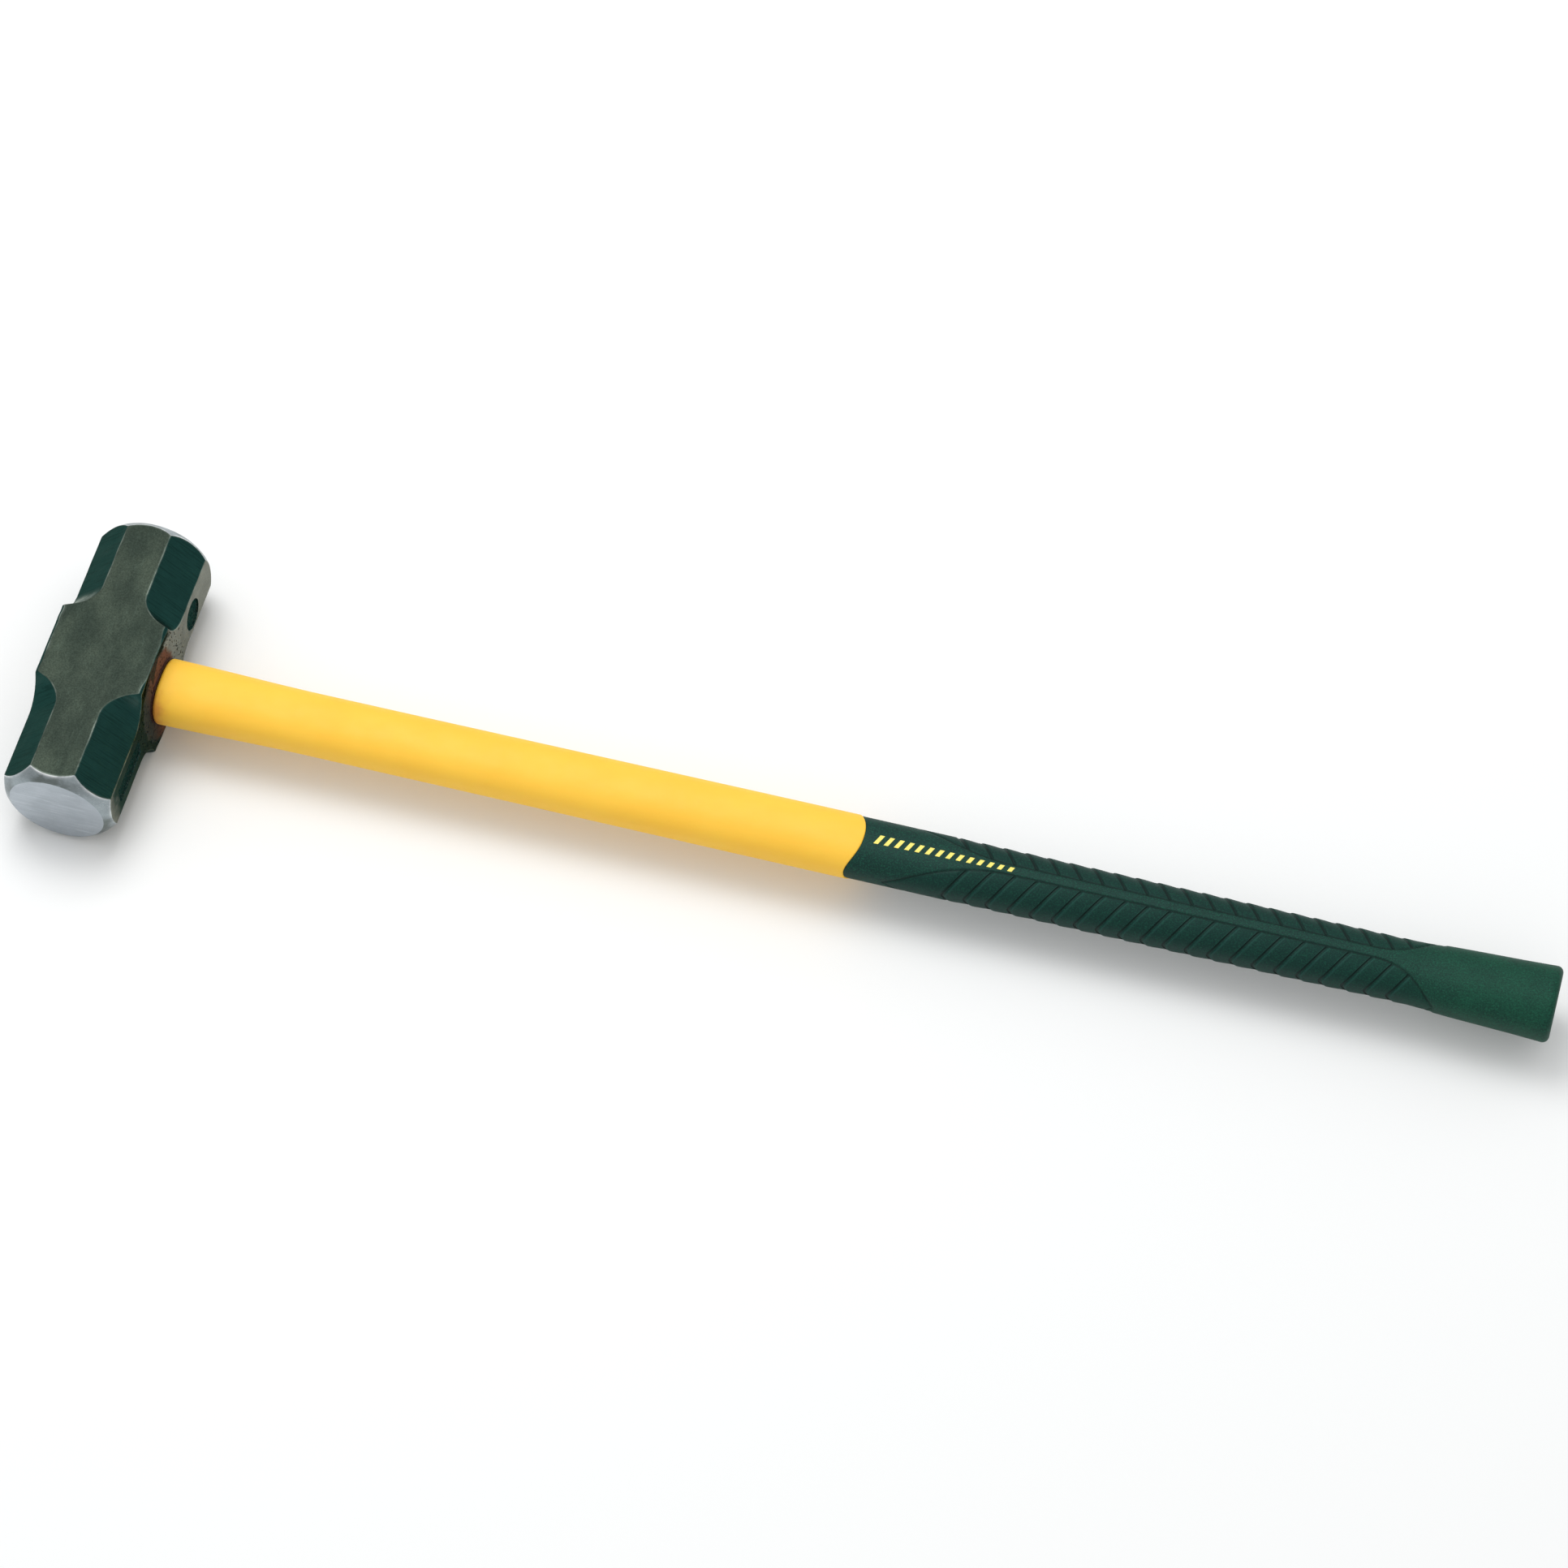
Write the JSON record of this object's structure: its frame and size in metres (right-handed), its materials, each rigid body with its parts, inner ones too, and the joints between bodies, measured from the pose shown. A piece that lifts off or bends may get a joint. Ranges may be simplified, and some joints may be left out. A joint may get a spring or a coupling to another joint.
{
  "type": "sledgehammer",
  "caption": "Long-handled double-faced sledgehammer: octagonal-ended forged head, oval plastic-jacketed fibreglass handle and ribbed rubber grip with a flared butt, lying on its cheek.",
  "frame": {"origin": "on the surface the hammer lies on, under the middle of the eye, at the centre of the head's lower cheek", "axes": "+X along the handle from the head to the butt, +Y along the head from one striking face to the other, towards the end with the round recess, +Z out of the upper cheek"},
  "size_m": [0.9, 0.186, 0.066],
  "materials": {
    "forged_steel": "forged and oil-blacked, cheeks ground satin, striking faces and their bevels polished bright",
    "fibreglass": "straw-coloured glass fibre in resin, sawn end",
    "jacket_plastic": "satin moulded yellow plastic",
    "grip_rubber": "matte dark green moulded rubber with a chevron tread",
    "resin": "dark brown cast epoxy",
    "dam_rubber": "red-brown soft sealing ring",
    "mark_inlay": "yellow paint-filled inlay"
  },
  "bodies": {
    "root": {"head": "forged_steel", "fibreglass_core": "fibreglass", "handle_jacket": "jacket_plastic", "grip": "grip_rubber", "eye_resin": "resin", "resin_dam": "dam_rubber", "grip_marks": "mark_inlay"}
  },
  "joints": []
}
